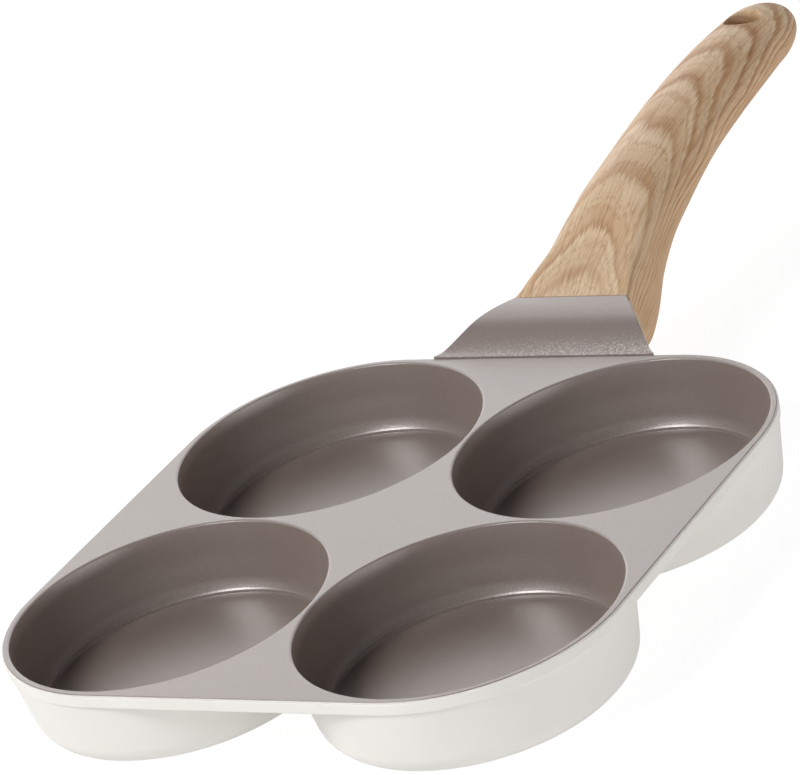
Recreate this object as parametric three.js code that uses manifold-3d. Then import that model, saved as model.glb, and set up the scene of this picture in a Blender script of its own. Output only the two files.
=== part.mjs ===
// Four-cup egg pan: a die-cast pan body with a steel disc in the base of each cup, and a lofted
// wood-grained handle that slides over the casting's tang and is held by one screw from below.
// Lengths are in millimetres, +Z is up and +Y runs from the pan to the tip of the handle.
// The origin is the middle of the overall footprint, on the surface that the cups stand on.
import * as THREE from "three";
import { mergeVertices } from "three/addons/utils/BufferGeometryUtils.js";
import Module from "manifold-3d";

const { degToRad, lerp } = THREE.MathUtils;

// Cups
const CUP_RIM_RADIUS = 47.5; // inside, at the deck
const CUP_LAND = 2; // deck left between two neighbouring cups
const CUP_WALL = 2.4; // at the deck
const CUP_DEPTH = 20.3; // deck to cooking floor
const CUP_INNER_DRAFT = degToRad(10);
const CUP_OUTER_DRAFT = degToRad(11.5);
const FLOOR_THICKNESS = 7.1;
const FLOOR_FILLET = 3.2;
const BASE_FILLET = 7;
const RIM_ROUND = 1.1;

// Deck that joins the four cups, with a skirt round its edge
const DECK_LIP = 0.4; // skirt outside the cup wall, at the deck
const DECK_THICKNESS = 3.2;
const DECK_EDGE_ROUND = 1;
const SKIRT_DEPTH = 4.6;
const SKIRT_WALL = 2.6;

// Steel discs pressed into the cup bases
const DISC_MARGIN = 5.6; // flat ring of the casting left round the disc
const DISC_THICKNESS = 1.2;
const DISC_RECESS = 0.4; // how far the disc stays above the standing surface
const DISC_HOLE_RADIUS = 2;
const DISC_HOLE_EDGE = 8; // outer ring of holes, in from the disc's edge
const DISC_HOLE_SPACING = 11;

// Ramp from the rear edge of the deck on to the handle, measured back from that edge
const RAMP_LENGTH = 24.2;
const RAMP_STEP = 0.6; // rise where it starts
const RAMP_RISE = 8.2;
const RAMP_THICKNESS = 1.6;
const RAMP_FOOT_WIDTH = 75;
const RAMP_END_WIDTH = 38.6;
const RAMP_FOOT_PULL = 5.2; // the curve's handles at the foot and at the upper end
const RAMP_FOOT_SLOPE = 0.12;
const RAMP_END_PULL = 15.7;
const RAMP_END_SLOPE = -0.045;

// Tang inside the handle
const TANG_WIDTH = 16;
const TANG_HEIGHT = 8;
const TANG_DROP = 1; // its centre line below the deck
const TANG_END = 11; // past the screw
const TANG_ROUND = 2;

// Handle, measured back from the rear edge of the deck and up from the deck
const HANDLE_REACH = 190;
const HANDLE_ROOT_GAP = 5.2;
const HANDLE_ROOT_DEPTH = 4.5; // underside at the root, below the deck
const HANDLE_LIFT = 28; // crest of the handle above the ramp
const ROOT_BULGE = 2.2; // wood beside the upper end of the ramp
const ROOT_HEIGHT = 22;
const BELLY_HEIGHT = 29.8;
const GRIP_WIDTH = 31;
const GRIP_HEIGHT = 22.8;
const TIP_WIDTH = 26.6;
const TIP_HEIGHT = 20.5;
const TIP_ROUND = 24; // length of the rounded end
const TIP_BLUNTNESS = 2.1;

// Hang hole through the tip
const HANG_HOLE_INSET = 23.5; // its middle, in from the tip
const HANG_HOLE_WIDTH = 11.5;
const HANG_HOLE_LENGTH = 13.5;
const HANG_HOLE_FLARE = 1.3;

// Screw stack, from below
const SCREW_REACH = 36; // back from the rear edge of the deck
const SCREW_DIAMETER = 5;
const SCREW_BITE = 6.4; // length inside the tang
const SCREW_HEAD_DIAMETER = 9;
const SCREW_HEAD_HEIGHT = 3;
const SCREW_HEAD_ROUND = 2.1;
const SCREW_SLOT_WIDTH = 1.1;
const SCREW_SLOT_LENGTH = 5;
const SCREW_SLOT_DEPTH = 1.7;
const WASHER_DIAMETER = 10;
const WASHER_THICKNESS = 1;
const SPRING_WASHER_DIAMETER = 8.6;
const SPRING_WASHER_THICKNESS = 1.3;
const SPRING_WASHER_SPLIT = 1.2;
const SPRING_WASHER_TILT = degToRad(25);
const SEAT_THICKNESS = 2.6; // wood between the washer and the tang

// Clearances
const SEAT_GAP = 0.25; // between faces that bear on each other
const FIT_GAP = 0.3; // round a piece that sits in a pocket
const BORE_GAP = 0.6; // round the washer in its counterbore
const CUT_OVERRUN = 5; // how far a cutting body passes the face that it opens

// Fineness of the facets
const CUP_SEGMENTS = 40;
const SMALL_SEGMENTS = 20;
const HOLE_SEGMENTS = 8;
const FILLET_STEPS = 2;
const RAMP_STEPS = 8;
const HANDLE_SECTIONS = 26;
const HANDLE_TIP_SECTIONS = 6;
const HANDLE_SIDES = 32;

// Sizes and places that follow from those above
const CUP_PITCH = 2 * CUP_RIM_RADIUS + CUP_LAND;
const CUP_OUTER_RADIUS = CUP_RIM_RADIUS + CUP_WALL;
const PAN_HEIGHT = CUP_DEPTH + FLOOR_THICKNESS;
const BASE_RADIUS = CUP_OUTER_RADIUS - PAN_HEIGHT * Math.tan(CUP_OUTER_DRAFT);
const BASE_FLAT_RADIUS = BASE_RADIUS - BASE_FILLET * Math.tan((Math.PI / 2 - CUP_OUTER_DRAFT) / 2);
const DISC_RADIUS = BASE_FLAT_RADIUS - DISC_MARGIN;
const DECK_CORNER_RADIUS = CUP_OUTER_RADIUS + DECK_LIP;
const DECK_EDGE = CUP_PITCH / 2 + DECK_CORNER_RADIUS;
const TANG_BOTTOM = PAN_HEIGHT - TANG_DROP - TANG_HEIGHT / 2;
const SCREW_PLACE = { x: 0, y: DECK_EDGE + SCREW_REACH };
const SEAT_LEVEL = TANG_BOTTOM - FIT_GAP - SEAT_THICKNESS;
const WASHER_LEVEL = SEAT_LEVEL - SEAT_GAP - WASHER_THICKNESS;
const SPRING_LEVEL = WASHER_LEVEL - SEAT_GAP - SPRING_WASHER_THICKNESS;
const HEAD_LEVEL = SPRING_LEVEL - SEAT_GAP - SCREW_HEAD_HEIGHT;
const CUPS = [
  { name: "front_left", x: -CUP_PITCH / 2, y: -CUP_PITCH / 2 },
  { name: "front_right", x: CUP_PITCH / 2, y: -CUP_PITCH / 2 },
  { name: "rear_left", x: -CUP_PITCH / 2, y: CUP_PITCH / 2 },
  { name: "rear_right", x: CUP_PITCH / 2, y: CUP_PITCH / 2 },
];

const wasm = await Module();
wasm.setup();

// A closed body of a geometry, with shared corners and no collapsed triangles.
function solid(geometry) {
  const bare = new THREE.BufferGeometry();
  bare.setAttribute("position", geometry.getAttribute("position"));
  bare.setIndex(geometry.getIndex());
  const merged = mergeVertices(bare, 1e-4);
  const corners = merged.getIndex().array;
  const kept = [];
  for (let i = 0; i < corners.length; i += 3) {
    const [a, b, c] = corners.slice(i, i + 3);
    if (a !== b && b !== c && c !== a) kept.push(a, b, c);
  }
  const mesh = new wasm.Mesh({
    numProp: 3,
    vertProperties: merged.getAttribute("position").array,
    triVerts: new Uint32Array(kept),
  });
  return new wasm.Manifold(mesh);
}

function geometryOf(body) {
  const { vertProperties, triVerts } = body.getMesh();
  const geometry = new THREE.BufferGeometry();
  geometry.setAttribute("position", new THREE.BufferAttribute(vertProperties, 3));
  geometry.setIndex(new THREE.BufferAttribute(triVerts, 1));
  geometry.computeVertexNormals();
  return geometry;
}

const joined = (bodies) => bodies.reduce((whole, body) => whole.add(body));
const cut = (body, tools) => tools.reduce((rest, tool) => rest.subtract(tool), body);

// A path through corners {x, y, round}, each round corner turned into a tangent arc.
function filleted(corners, { closed }) {
  const path = new THREE.Shape();
  const points = corners.map(({ x, y }) => new THREE.Vector2(x, y));
  const last = corners.length - 1;
  const reach = (i, { x, y }) => (i === 0 ? path.moveTo(x, y) : path.lineTo(x, y));
  corners.forEach(({ round }, i) => {
    const corner = points[i];
    if (!round) {
      reach(i, corner);
      return;
    }
    const back = points[(i + last) % corners.length].clone().sub(corner).normalize();
    const on = points[(i + 1) % corners.length].clone().sub(corner).normalize();
    const half = Math.acos(back.dot(on)) / 2;
    const start = corner.clone().addScaledVector(back, round / Math.tan(half));
    const end = corner.clone().addScaledVector(on, round / Math.tan(half));
    const middle = back.clone().add(on).normalize();
    const centre = corner.clone().addScaledVector(middle, round / Math.sin(half));
    reach(i, start);
    const from = start.sub(centre).angle();
    const to = end.sub(centre).angle();
    path.absarc(centre.x, centre.y, round, from, to, back.cross(on) > 0);
  });
  if (closed) path.closePath();
  return path;
}

// A body turned round an upright axis at (x, y), from a profile that starts and ends on the axis.
function turned(corners, segments, { x, y }) {
  const profile = filleted(corners, { closed: false }).getPoints(FILLET_STEPS);
  const geometry = new THREE.LatheGeometry(profile, segments);
  return solid(geometry.rotateX(Math.PI / 2).translate(x, y, 0));
}

// An upright round bar.
function bar(radius, bottom, top, segments, place) {
  const corners = [
    { x: 0, y: bottom },
    { x: radius, y: bottom },
    { x: radius, y: top },
    { x: 0, y: top },
  ];
  return turned(corners, segments, place);
}

// A plan view pushed straight up from one level to another.
function raised(shape, bottom, top) {
  const options = { depth: top - bottom, bevelEnabled: false, curveSegments: FILLET_STEPS * 4 };
  return solid(new THREE.ExtrudeGeometry(shape, options).translate(0, 0, bottom));
}

// A side view, in place along Y and height, pushed across the pan about its centre line.
function across(corners, width) {
  const shape = filleted(corners, { closed: true });
  const options = { depth: width, bevelEnabled: false, curveSegments: FILLET_STEPS * 2 };
  const geometry = new THREE.ExtrudeGeometry(shape, options);
  geometry.translate(0, 0, -width / 2);
  geometry.rotateY(Math.PI / 2);
  geometry.rotateX(Math.PI / 2);
  return solid(geometry);
}

// A closed skin over rings of equal count, each running anticlockwise seen from the last ring.
function loft(rings) {
  const sides = rings[0].length;
  const ends = [rings[0], rings.at(-1)];
  const [first, last] = ends.map((ring) => {
    const sum = ring.reduce((total, point) => total.add(point), new THREE.Vector3());
    return sum.divideScalar(sides);
  });
  const corners = [];
  for (let k = 0; k < sides; k++) {
    const next = (k + 1) % sides;
    corners.push(first, ends[0][next], ends[0][k]);
    corners.push(last, ends[1][k], ends[1][next]);
    for (let i = 0; i + 1 < rings.length; i++) {
      const near = rings[i];
      const far = rings[i + 1];
      corners.push(near[k], near[next], far[next], near[k], far[next], far[k]);
    }
  }
  return solid(new THREE.BufferGeometry().setFromPoints(corners));
}

// Points round a full turn, from a function of the angle.
function ringOf(count, pointAt) {
  return Array.from({ length: count }, (_, k) => pointAt((2 * Math.PI * k) / count));
}

// The deck's rounded square, drawn in from its edge.
function deckOutline(inset) {
  const half = DECK_EDGE - inset;
  const round = DECK_CORNER_RADIUS - inset;
  const corners = [
    { x: half, y: half, round },
    { x: -half, y: half, round },
    { x: -half, y: -half, round },
    { x: half, y: -half, round },
  ];
  return filleted(corners, { closed: true });
}

// Deck with its rounded edge and the skirt that hangs below it, hollow underneath.
function deckShell() {
  const slab = new THREE.ExtrudeGeometry(deckOutline(DECK_EDGE_ROUND), {
    depth: SKIRT_DEPTH - 2 * DECK_EDGE_ROUND,
    bevelThickness: DECK_EDGE_ROUND,
    bevelSize: DECK_EDGE_ROUND,
    bevelSegments: FILLET_STEPS,
    curveSegments: FILLET_STEPS * 4,
  });
  slab.translate(0, 0, PAN_HEIGHT - SKIRT_DEPTH + DECK_EDGE_ROUND);
  const underside = PAN_HEIGHT - DECK_THICKNESS;
  const hollow = raised(deckOutline(SKIRT_WALL), underside - SKIRT_DEPTH, underside);
  return solid(slab).subtract(hollow);
}

// Outside of a cup: flat base, rounded corner and drafted wall, up into the thickness of the deck.
function cupOutside(cup) {
  const inDeck = DECK_THICKNESS / 2;
  const top = PAN_HEIGHT - inDeck;
  const corners = [
    { x: 0, y: 0 },
    { x: BASE_RADIUS, y: 0, round: BASE_FILLET },
    { x: CUP_OUTER_RADIUS - inDeck * Math.tan(CUP_OUTER_DRAFT), y: top },
    { x: 0, y: top },
  ];
  return turned(corners, CUP_SEGMENTS, cup);
}

// Hollow of a cup: floor, fillet, drafted wall and a rolled rim that runs out on to the deck.
function cupHollow(cup) {
  const floor = PAN_HEIGHT - CUP_DEPTH;
  const clear = CUP_RIM_RADIUS + 2 * RIM_ROUND;
  const runOut = RIM_ROUND / 8;
  const corners = [
    { x: 0, y: floor },
    { x: CUP_RIM_RADIUS - CUP_DEPTH * Math.tan(CUP_INNER_DRAFT), y: floor, round: FLOOR_FILLET },
    { x: CUP_RIM_RADIUS, y: PAN_HEIGHT, round: RIM_ROUND },
    { x: clear, y: PAN_HEIGHT + runOut },
    { x: clear, y: PAN_HEIGHT + CUT_OVERRUN },
    { x: 0, y: PAN_HEIGHT + CUT_OVERRUN },
  ];
  return turned(corners, CUP_SEGMENTS, cup);
}

function discPocket(cup) {
  const top = DISC_RECESS + DISC_THICKNESS + SEAT_GAP;
  return bar(DISC_RADIUS + FIT_GAP, -CUT_OVERRUN, top, CUP_SEGMENTS, cup);
}

// The ramp's upper line, moved down by a drop, as points {x: place along Y, y: height}.
function rampLine(drop) {
  const curve = new THREE.CubicBezierCurve(
    new THREE.Vector2(0, RAMP_STEP),
    new THREE.Vector2(RAMP_FOOT_PULL, RAMP_STEP + RAMP_FOOT_PULL * RAMP_FOOT_SLOPE),
    new THREE.Vector2(RAMP_LENGTH - RAMP_END_PULL, RAMP_RISE - RAMP_END_PULL * RAMP_END_SLOPE),
    new THREE.Vector2(RAMP_LENGTH, RAMP_RISE),
  );
  const points = curve.getPoints(RAMP_STEPS);
  return points.map(({ x, y }) => ({ x: DECK_EDGE + x, y: PAN_HEIGHT + y - drop }));
}

// Half width of the ramp at a reach behind the deck.
function rampHalfWidth(reach) {
  return lerp(RAMP_FOOT_WIDTH, RAMP_END_WIDTH, reach / RAMP_LENGTH) / 2;
}

// Thin plate of the ramp, tapered in plan from the deck to its upper end.
function ramp() {
  const upper = rampLine(0);
  const lower = rampLine(RAMP_THICKNESS);
  const inside = DECK_EDGE - SKIRT_WALL;
  const side = [
    { x: inside, y: lower[0].y },
    ...lower,
    ...upper.toReversed(),
    { x: inside, y: upper[0].y - RAMP_STEP },
  ];
  const foot = rampHalfWidth(0);
  const end = rampHalfWidth(RAMP_LENGTH);
  const plan = [
    { x: -foot, y: inside },
    { x: foot, y: inside },
    { x: foot, y: DECK_EDGE },
    { x: end, y: DECK_EDGE + RAMP_LENGTH },
    { x: -end, y: DECK_EDGE + RAMP_LENGTH },
    { x: -foot, y: DECK_EDGE },
  ];
  const taper = raised(filleted(plan, { closed: true }), 0, PAN_HEIGHT + 2 * RAMP_RISE);
  return across(side, RAMP_FOOT_WIDTH).intersect(taper);
}

// Tang, with the web that ties it to the ramp and to the two rear cups, grown all round by a gap.
function tang(gap) {
  const bottom = TANG_BOTTOM - gap;
  const top = TANG_BOTTOM + TANG_HEIGHT + gap;
  const end = SCREW_PLACE.y + TANG_END + gap;
  const front = CUP_PITCH / 2 + CUP_RIM_RADIUS / 2;
  const webLimit = DECK_EDGE + RAMP_LENGTH - RAMP_THICKNESS;
  const web = rampLine(RAMP_THICKNESS / 2).filter(({ x }) => x < webLimit);
  const webEnd = web.at(-1);
  const side = [
    { x: front, y: bottom },
    { x: end, y: bottom, round: TANG_ROUND },
    { x: end, y: top, round: TANG_ROUND },
    { x: webEnd.x + gap, y: top },
    { x: webEnd.x + gap, y: webEnd.y },
    ...web.toReversed(),
    { x: front, y: PAN_HEIGHT - DECK_THICKNESS / 2 },
  ];
  return across(side, TANG_WIDTH + 2 * gap);
}

function screwBore(bottom, top) {
  return bar(SCREW_DIAMETER / 2 + FIT_GAP, bottom, top, SMALL_SEGMENTS, SCREW_PLACE);
}

function panBody() {
  const solids = [deckShell(), ...CUPS.map(cupOutside), ramp(), tang(0)];
  const tools = [
    ...CUPS.map(cupHollow),
    ...CUPS.map(discPocket),
    screwBore(TANG_BOTTOM - CUT_OVERRUN, TANG_BOTTOM + SCREW_BITE + FIT_GAP),
  ];
  return cut(joined(solids), tools);
}

// Rings of holes through a disc, from near its edge inwards, evenly spaced round each ring.
function discHoles() {
  const holes = [];
  let ring = DISC_RADIUS - DISC_HOLE_EDGE;
  while (ring > DISC_HOLE_SPACING) {
    const start = new THREE.Vector2(ring, 0);
    const count = Math.round((2 * Math.PI * ring) / DISC_HOLE_SPACING);
    const places = ringOf(count, (angle) => start.clone().rotateAround(new THREE.Vector2(), angle));
    for (const place of places) {
      holes.push(bar(DISC_HOLE_RADIUS, -CUT_OVERRUN, CUT_OVERRUN, HOLE_SEGMENTS, place));
    }
    ring -= DISC_HOLE_SPACING;
  }
  return holes;
}

// A steel disc, whose holes the metal of the base is pressed into.
function baseDisc({ x, y }) {
  const outline = new THREE.Shape();
  outline.absarc(0, 0, DISC_RADIUS, 0, 2 * Math.PI);
  const options = { depth: DISC_THICKNESS, bevelEnabled: false, curveSegments: CUP_SEGMENTS / 2 };
  const disc = solid(new THREE.ExtrudeGeometry(outline, options));
  return geometryOf(cut(disc, discHoles())).translate(x, y, DISC_RECESS);
}

// One section of the handle, square to Y: a superellipse whose upper and lower halves differ.
function handleRing(reach, top, bottom, halfWidth, upperPower, lowerPower) {
  const middle = PAN_HEIGHT + (top + bottom) / 2;
  const halfHeight = (top - bottom) / 2;
  return ringOf(HANDLE_SIDES, (angle) => {
    const power = 2 / (Math.sin(angle) >= 0 ? upperPower : lowerPower);
    const squared = (value) => Math.sign(value) * Math.abs(value) ** power;
    const side = -halfWidth * squared(Math.cos(angle));
    return new THREE.Vector3(side, DECK_EDGE + reach, middle + halfHeight * squared(Math.sin(angle)));
  });
}

// Stations of the handle as arguments of handleRing. Two lie under the ramp and take its width.
// The others give the share of the way from the ramp to the rounded end, the share of the lift,
// width, height, and how square the section is above and below: 2 is an ellipse, more is boxier.
function handleStations() {
  const rootWidth = RAMP_END_WIDTH + 2 * ROOT_BULGE;
  const neck = (share) => lerp(rootWidth, GRIP_WIDTH, share);
  const bend = (share) => lerp(BELLY_HEIGHT, GRIP_HEIGHT, share);
  const grip = [0.57, 0.888, GRIP_WIDTH, GRIP_HEIGHT, 2.1, 2.1];
  const tip = [1, 0.99, TIP_WIDTH, TIP_HEIGHT, 2, 2];
  const shaped = [
    [0, 0.02, rootWidth, ROOT_HEIGHT, 12, 4],
    [0.06, 0.126, neck(0.33), lerp(ROOT_HEIGHT, BELLY_HEIGHT, 0.9), 8, 3.6],
    [0.13, 0.245, neck(0.58), BELLY_HEIGHT, 5, 3.3],
    [0.22, 0.48, neck(0.87), bend(0.21), 3.2, 2.8],
    [0.3, 0.648, neck(0.92), bend(0.39), 2.5, 2.5],
    [0.42, 0.774, neck(0.93), bend(0.67), 2.2, 2.2],
    grip,
    [0.75, 0.972, lerp(GRIP_WIDTH, TIP_WIDTH, 0.1), lerp(GRIP_HEIGHT, TIP_HEIGHT, 0.37), 2, 2],
    [0.89, 1, lerp(GRIP_WIDTH, TIP_WIDTH, 0.5), lerp(GRIP_HEIGHT, TIP_HEIGHT, 0.57), 2, 2],
    tip,
  ];
  const stations = shaped.map(([along, rise, width, height, above, below]) => {
    const top = RAMP_RISE + rise * HANDLE_LIFT;
    const reach = lerp(RAMP_LENGTH, HANDLE_REACH - TIP_ROUND, along);
    return [reach, top, top - height, width / 2, above, below];
  });
  const [, rootTop, rootBottom, , above, below] = stations[0];
  const underRamp = [HANDLE_ROOT_GAP, RAMP_LENGTH / 2].map((reach, i) => {
    const share = i / 2;
    const bottom = lerp(-HANDLE_ROOT_DEPTH, rootBottom, share);
    return [reach, lerp(RAMP_STEP, rootTop, (1 + share) / 2), bottom, rampHalfWidth(reach), above, below];
  });
  return [...underRamp, ...stations];
}

function handleSkin() {
  const stations = handleStations();
  const spine = new THREE.CatmullRomCurve3(stations.map(([a, b, c]) => new THREE.Vector3(a, b, c)));
  const girth = new THREE.CatmullRomCurve3(stations.map((s) => new THREE.Vector3(...s.slice(3))));
  const rings = [];
  for (let i = 0; i <= HANDLE_SECTIONS; i++) {
    const share = i / HANDLE_SECTIONS;
    rings.push(handleRing(...spine.getPoint(share).toArray(), ...girth.getPoint(share).toArray()));
  }
  const [start, top, bottom, halfWidth, above, below] = stations.at(-1);
  const middle = (top + bottom) / 2;
  for (let i = 1; i <= HANDLE_TIP_SECTIONS; i++) {
    const along = Math.sin(((Math.PI / 2) * i) / HANDLE_TIP_SECTIONS);
    const share = Math.max(1 - along ** TIP_BLUNTNESS, 0) ** (1 / TIP_BLUNTNESS);
    const half = ((top - bottom) / 2) * share;
    const reach = start + TIP_ROUND * along;
    rings.push(handleRing(reach, middle + half, middle - half, halfWidth * share, above, below));
  }
  return loft(rings);
}

// Oval hole through the tip, opened out where it meets the upper and lower faces.
function hangHole() {
  const [, top, bottom] = handleStations().at(-1);
  const centre = DECK_EDGE + HANDLE_REACH - HANG_HOLE_INSET;
  const levels = [
    [bottom - HANG_HOLE_FLARE, 2 * HANG_HOLE_FLARE],
    [bottom + HANG_HOLE_FLARE, 0],
    [top - HANG_HOLE_FLARE, 0],
    [top + HANG_HOLE_FLARE, 2 * HANG_HOLE_FLARE],
  ];
  const rings = levels.map(([height, grow]) => {
    const halfWidth = HANG_HOLE_WIDTH / 2 + grow;
    const halfLength = HANG_HOLE_LENGTH / 2 + grow;
    return ringOf(SMALL_SEGMENTS, (angle) => {
      const y = centre + halfLength * Math.sin(angle);
      return new THREE.Vector3(halfWidth * Math.cos(angle), y, PAN_HEIGHT + height);
    });
  });
  return loft(rings);
}

// Room for the ramp plate, over the root of the handle.
function plateRoom() {
  const lower = rampLine(RAMP_THICKNESS + FIT_GAP);
  const end = DECK_EDGE + RAMP_LENGTH + FIT_GAP;
  const high = PAN_HEIGHT + 2 * RAMP_RISE;
  const side = [
    ...lower,
    { x: end, y: lower.at(-1).y },
    { x: end, y: high },
    { x: DECK_EDGE, y: high },
  ];
  return across(side, RAMP_FOOT_WIDTH + 2 * FIT_GAP);
}

function handle() {
  const boreRadius = Math.max(WASHER_DIAMETER, SCREW_HEAD_DIAMETER) / 2 + BORE_GAP;
  const boreBottom = SEAT_LEVEL - BELLY_HEIGHT;
  const tools = [
    plateRoom(),
    tang(FIT_GAP),
    bar(boreRadius, boreBottom, SEAT_LEVEL, SMALL_SEGMENTS, SCREW_PLACE),
    screwBore(SEAT_LEVEL - CUT_OVERRUN, TANG_BOTTOM),
    hangHole(),
  ];
  return cut(handleSkin(), tools);
}

function washer(diameter, thickness, level) {
  const outline = new THREE.Shape();
  outline.absarc(0, 0, diameter / 2, 0, 2 * Math.PI);
  const bore = new THREE.Path();
  bore.absarc(0, 0, SCREW_DIAMETER / 2 + FIT_GAP, 0, 2 * Math.PI);
  outline.holes.push(bore);
  const options = { depth: thickness, bevelEnabled: false, curveSegments: SMALL_SEGMENTS / 2 };
  const ring = new THREE.ExtrudeGeometry(outline, options);
  return solid(ring.translate(SCREW_PLACE.x, SCREW_PLACE.y, level));
}

// Spring washer: a ring with one slanted split.
function springWasher() {
  const ring = washer(SPRING_WASHER_DIAMETER, SPRING_WASHER_THICKNESS, SPRING_LEVEL);
  const height = 4 * SPRING_WASHER_THICKNESS;
  const split = new THREE.BoxGeometry(SPRING_WASHER_DIAMETER, SPRING_WASHER_SPLIT, height);
  split.rotateX(SPRING_WASHER_TILT);
  const place = new THREE.Vector3(SCREW_PLACE.x, SCREW_PLACE.y, SPRING_LEVEL);
  split.translate(
    place.x + SPRING_WASHER_DIAMETER / 2,
    place.y,
    place.z + SPRING_WASHER_THICKNESS / 2,
  );
  return ring.subtract(solid(split));
}

// Screw with a domed head and a cross recess, driven upwards into the tang.
function screw() {
  const shank = SCREW_DIAMETER / 2;
  const head = SCREW_HEAD_DIAMETER / 2;
  const end = TANG_BOTTOM + SCREW_BITE;
  const corners = [
    { x: 0, y: HEAD_LEVEL },
    { x: head, y: HEAD_LEVEL, round: SCREW_HEAD_ROUND },
    { x: head, y: HEAD_LEVEL + SCREW_HEAD_HEIGHT },
    { x: shank, y: HEAD_LEVEL + SCREW_HEAD_HEIGHT },
    { x: shank, y: end },
    { x: 0, y: end },
  ];
  const slots = [0, Math.PI / 2].map((angle) => {
    const slot = new THREE.BoxGeometry(SCREW_SLOT_LENGTH, SCREW_SLOT_WIDTH, 2 * SCREW_SLOT_DEPTH);
    return solid(slot.rotateZ(angle).translate(SCREW_PLACE.x, SCREW_PLACE.y, HEAD_LEVEL));
  });
  return cut(turned(corners, SMALL_SEGMENTS, SCREW_PLACE), slots);
}

const FINISHES = {
  coating: { color: 0xb4aea8, roughness: 0.45, metalness: 0 },
  woodGrain: { color: 0xb99876, roughness: 0.5, metalness: 0 },
  steel: { color: 0xb8bab9, roughness: 0.35, metalness: 1 },
  zinc: { color: 0xc4c6c4, roughness: 0.3, metalness: 1 },
};

function part(name, geometry, finish) {
  const mesh = new THREE.Mesh(geometry, new THREE.MeshStandardMaterial(FINISHES[finish]));
  mesh.name = name;
  return mesh;
}

const plainWasher = washer(WASHER_DIAMETER, WASHER_THICKNESS, WASHER_LEVEL);

const assembly = new THREE.Group();
assembly.add(
  part("pan_body", geometryOf(panBody()), "coating"),
  part("handle", geometryOf(handle()), "woodGrain"),
  part("plain_washer", geometryOf(plainWasher), "zinc"),
  part("spring_washer", geometryOf(springWasher()), "zinc"),
  part("handle_screw", geometryOf(screw()), "zinc"),
  ...CUPS.map((cup) => part(`base_disc_${cup.name}`, baseDisc(cup), "steel")),
);
assembly.position.y = -HANDLE_REACH / 2;

const eggPan = new THREE.Group();
eggPan.add(assembly);

export default eggPan;
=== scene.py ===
# %% [markdown]
# # A four-cup egg pan
# The real pan is one aluminium casting with four round cups under a flat deck. A ramp at the rear edge
# carries a wood-grained handle, and one screw from below holds it. This lesson rebuilds each piece as a
# fine mesh in the place of its CAD solid, gives it a finish, and sets up the light and the camera.

# %% Load the solids
import math

import bmesh
import bpy
import numpy as np
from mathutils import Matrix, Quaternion, Vector, kdtree


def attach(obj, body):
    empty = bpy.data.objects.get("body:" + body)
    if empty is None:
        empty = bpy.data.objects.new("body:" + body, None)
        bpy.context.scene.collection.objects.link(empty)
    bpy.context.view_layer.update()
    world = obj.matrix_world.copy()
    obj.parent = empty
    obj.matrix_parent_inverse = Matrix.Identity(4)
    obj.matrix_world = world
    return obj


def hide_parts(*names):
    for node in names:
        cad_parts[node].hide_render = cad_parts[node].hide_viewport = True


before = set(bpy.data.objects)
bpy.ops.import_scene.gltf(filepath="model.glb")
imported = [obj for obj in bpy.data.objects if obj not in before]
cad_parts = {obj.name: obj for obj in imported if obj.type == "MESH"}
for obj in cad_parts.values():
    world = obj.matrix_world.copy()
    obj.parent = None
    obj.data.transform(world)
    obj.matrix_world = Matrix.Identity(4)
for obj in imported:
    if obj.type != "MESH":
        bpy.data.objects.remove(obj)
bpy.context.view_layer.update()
print("nodes:", ", ".join(sorted(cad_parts)))

# %% [markdown]
# ## Where things are
# A maker thinks of a pan in millimetres, from the middle of its deck. Blender and the solids use metres,
# from the middle of the whole footprint. One small function turns the first into the second, so every
# size below can be written as it would be on a drawing.

# %% Sizes and places
MM = 0.001
DECK_MIDDLE_Y = -95.0
PAN_HEIGHT = 27.4
CUP_PITCH = 97.0
DECK_EDGE = 98.8
CORNER_RADIUS = 51.4
CUP_PLACES = {
    "front_left": (-CUP_PITCH / 2, -CUP_PITCH / 2),
    "front_right": (CUP_PITCH / 2, -CUP_PITCH / 2),
    "rear_left": (-CUP_PITCH / 2, CUP_PITCH / 2),
    "rear_right": (CUP_PITCH / 2, CUP_PITCH / 2),
}


def row_point(x, y, z):
    """A place measured in millimetres from the deck's middle, as metres in the row's frame."""
    return Vector((x, y + DECK_MIDDLE_Y, z)) * MM


print("middle of the deck in metres:", row_point(0, 0, PAN_HEIGHT))

# %% [markdown]
# ## Rounded lines
# Nothing on a casting has a knife edge, and it is the small roundings that catch the light. A profile is
# listed as corners, each with its rounding, and turned into points on tangent arcs. A bevel modifier
# could round the finished mesh too, but here every radius is known, so it is drawn.

# %% Rounded profile
ARC_STEPS = 7


def rounded_profile(corners):
    """Points along corners (across, up, rounding), with each rounding drawn as a tangent arc."""
    points = []
    for i, (across, up, rounding) in enumerate(corners):
        corner = Vector((across, up))
        if rounding == 0:
            points.append(corner)
            continue
        back = (Vector(corners[i - 1][:2]) - corner).normalized()
        on = (Vector(corners[i + 1][:2]) - corner).normalized()
        half = back.angle(on) / 2
        centre = corner + (back + on).normalized() * rounding / math.sin(half)
        start = corner + back * rounding / math.tan(half) - centre
        end = corner + on * rounding / math.tan(half) - centre
        turn = start.angle(end)
        for k in range(ARC_STEPS + 1):
            share = k / ARC_STEPS
            arm = start * math.sin((1 - share) * turn) + end * math.sin(share * turn)
            points.append(centre + arm / math.sin(turn))
    return points


print("a rounded square corner has", len(rounded_profile([(0, 1, 0), (1, 1, 0.2), (1, 0, 0)])), "points")

# %% [markdown]
# ## Skins between rings
# Cups are turned shapes and the handle is a loft, and both are rows of rings with faces between them.
# Writing the rings by hand, instead of spinning or skinning with an operator, keeps hold of the border
# vertices, so that the deck can be filled in exactly up to the rim of each cup.

# %% Rings and faces
CUP_SEGMENTS = 160


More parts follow.
